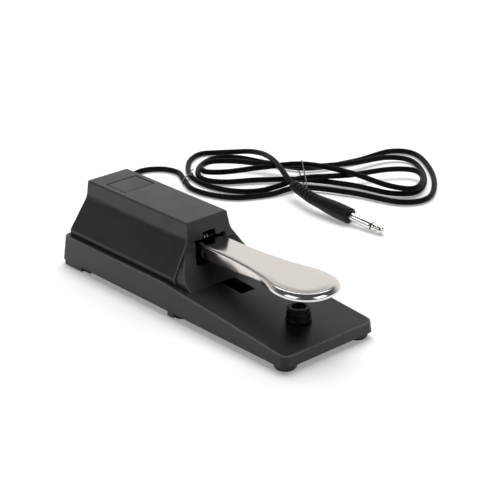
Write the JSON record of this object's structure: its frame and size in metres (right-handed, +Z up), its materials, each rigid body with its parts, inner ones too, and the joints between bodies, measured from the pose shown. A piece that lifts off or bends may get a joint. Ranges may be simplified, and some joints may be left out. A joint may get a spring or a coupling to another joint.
{
  "type": "sustain pedal",
  "caption": "Sustain pedal with a sprung nickel-plated foot lever in a black moulded housing on a long base, and a coiled lead ending in a 6.35 mm jack plug.",
  "frame": {"origin": "on the floor plane that the feet rest on, under the middle of the base, at the centre foot's underside", "axes": "+X along the base to the toe end of the lever, +Y to the side where the coiled lead lies, +Z up"},
  "size_m": [0.3245, 0.3375, 0.0572],
  "materials": {
    "base_plastic": "fine satin grain, moulded black",
    "cover_plastic": "fine satin grain, moulded black",
    "label_plastic": "smooth satin inlay",
    "plate_steel": "black powder coat",
    "screw_black": "black oxide",
    "screw_zinc": "zinc plated",
    "foot_rubber": "matte",
    "stop_rubber": "satin",
    "lever_nickel": "bright nickel plate",
    "axle_steel": "ground",
    "clip_steel": "phosphated spring steel",
    "bush_nylon": "natural nylon",
    "bracket_steel": "zinc plated sheet",
    "spring_steel": "drawn wire",
    "switch_plastic": "moulded",
    "plunger_plastic": "moulded",
    "leaf_brass": "rolled strip",
    "terminal_brass": "tinned strip",
    "selector_body": "pressed can",
    "selector_plastic": "moulded",
    "grommet_rubber": "matte",
    "clamp_nylon": "natural nylon",
    "wire_insulation": "PVC",
    "cable_jacket": "matte PVC jacket",
    "tie_plastic": "plastic-covered wire",
    "boot_plastic": "soft moulded PVC",
    "plug_nickel": "nickel plate",
    "ring_plastic": "moulded"
  },
  "bodies": {
    "base": {"base_tray": "base_plastic", "bottom_plate": "plate_steel", "bottom_plate_screws": "screw_black", "front_feet": "foot_rubber", "middle_feet": "foot_rubber", "rear_feet": "foot_rubber", "centre_foot": "foot_rubber", "bump_stop": "stop_rubber", "bump_stop_screw": "screw_zinc", "housing_cover": "cover_plastic", "front_skirt": "cover_plastic", "label_plate": "label_plastic", "cover_screws": "screw_black", "axle_bushes": "bush_nylon", "pivot_bracket": "bracket_steel", "bracket_screws": "screw_zinc", "rest_pad": "stop_rubber", "switch_mount": "bracket_steel", "switch_mount_screws": "screw_zinc", "microswitch_body": "switch_plastic", "switch_terminals": "terminal_brass", "switch_screws": "screw_zinc", "polarity_switch_body": "selector_body", "polarity_terminals": "terminal_brass", "polarity_screws": "screw_black", "cable_grommet": "grommet_rubber", "cable_clamp": "clamp_nylon", "cable_clamp_screws": "screw_zinc", "hookup_wires": "wire_insulation", "cable": "cable_jacket", "cable_ties": "tie_plastic", "plug_boot": "boot_plastic", "plug_sleeve": "plug_nickel", "plug_insulator": "ring_plastic", "plug_tip": "plug_nickel"},
    "lever": {"pedal_lever": "lever_nickel", "pivot_axle": "axle_steel", "axle_clips": "clip_steel", "return_spring": "spring_steel"},
    "leaf": {"switch_leaf": "leaf_brass"},
    "plunger": {"switch_plunger": "plunger_plastic"},
    "selector": {"polarity_slider": "selector_plastic"}
  },
  "joints": [
    {"name": "lever_hinge", "type": "hinge", "parent": "base", "child": "lever", "pos_m": [-0.011, 0, 0.0379], "axis": [0, 1, 0], "range_deg": [0, 9.4], "stiffness_Nm_per_rad": 9, "springref_deg": -6.88},
    {"name": "leaf_hinge", "type": "hinge", "parent": "base", "child": "leaf", "pos_m": [-0.0505, 0, 0.0369], "axis": [0, -1, 0], "range_deg": [0, 12]},
    {"name": "plunger_slide", "type": "slide", "parent": "base", "child": "plunger", "axis": [0, 0, 1], "range_m": [0, 0.0009]},
    {"name": "selector_slide", "type": "slide", "parent": "base", "child": "selector", "axis": [0, 1, 0], "range_m": [0, 0.0042]}
  ],
  "couplings": [
    {"joint": "leaf_hinge", "follows": "lever_hinge", "ratio": 1.2},
    {"joint": "plunger_slide", "follows": "lever_hinge", "m_per_rad": 0.005}
  ]
}
